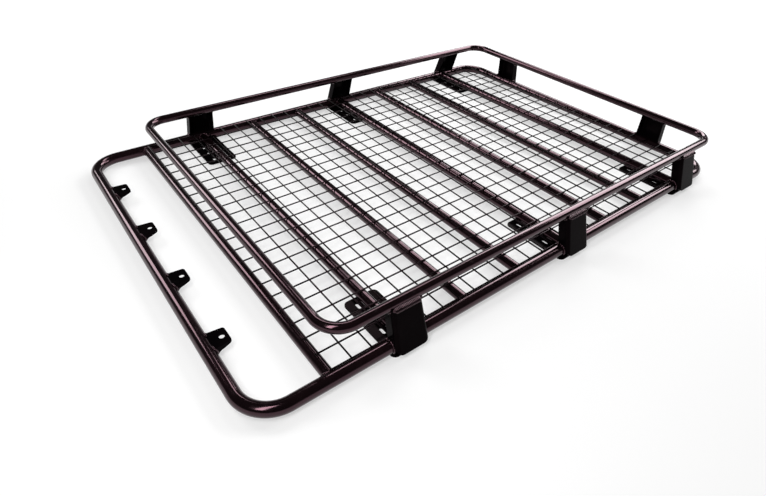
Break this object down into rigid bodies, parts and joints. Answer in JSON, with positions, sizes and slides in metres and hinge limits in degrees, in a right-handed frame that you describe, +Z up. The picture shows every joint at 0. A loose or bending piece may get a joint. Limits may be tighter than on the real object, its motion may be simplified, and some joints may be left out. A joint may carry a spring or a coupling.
{
  "type": "roof rack",
  "caption": "Welded steel tube roof rack with a mesh floor, a raised rail on folded plate uprights, slotted feet and lamp tabs on an open front bay.",
  "frame": {"origin": "centre of the bounding box in plan, at the level of the undersides of the feet", "axes": "+X towards the rear of the vehicle, +Y towards its right side, +Z up"},
  "size_m": [1.723, 1.192, 0.1315],
  "materials": {
    "frame_paint": "gloss black powder coat",
    "rail_paint": "gloss black powder coat",
    "plate_paint": "gloss black powder coat",
    "wire_paint": "satin black powder coat"
  },
  "bodies": {
    "root": {"base_front_tube": "frame_paint", "base_rear_tube": "frame_paint", "base_left_tube": "frame_paint", "base_right_tube": "frame_paint", "base_bend_front_left": "frame_paint", "base_bend_front_right": "frame_paint", "base_bend_rear_left": "frame_paint", "base_bend_rear_right": "frame_paint", "cross_tube_1": "frame_paint", "cross_tube_2": "frame_paint", "cross_tube_3": "frame_paint", "cross_tube_4": "frame_paint", "cross_tube_5": "frame_paint", "cross_tube_6": "frame_paint", "cross_tube_7": "frame_paint", "cross_tube_8": "frame_paint", "rail_front_tube": "rail_paint", "rail_rear_tube": "rail_paint", "rail_left_tube": "rail_paint", "rail_right_tube": "rail_paint", "rail_bend_front_left": "rail_paint", "rail_bend_front_right": "rail_paint", "rail_bend_rear_left": "rail_paint", "rail_bend_rear_right": "rail_paint", "upright_front_left": "plate_paint", "upright_front_right": "plate_paint", "upright_middle_left": "plate_paint", "upright_middle_right": "plate_paint", "upright_rear_left": "plate_paint", "upright_rear_right": "plate_paint", "foot_front_left": "plate_paint", "foot_front_right": "plate_paint", "foot_middle_left": "plate_paint", "foot_middle_right": "plate_paint", "foot_rear_left": "plate_paint", "foot_rear_right": "plate_paint", "tail_bracket_left": "plate_paint", "tail_bracket_right": "plate_paint", "light_tab_1": "plate_paint", "light_tab_2": "plate_paint", "light_tab_3": "plate_paint", "light_tab_4": "plate_paint", "mesh_front": "wire_paint", "mesh_middle": "wire_paint", "mesh_rear": "wire_paint"}
  },
  "joints": []
}
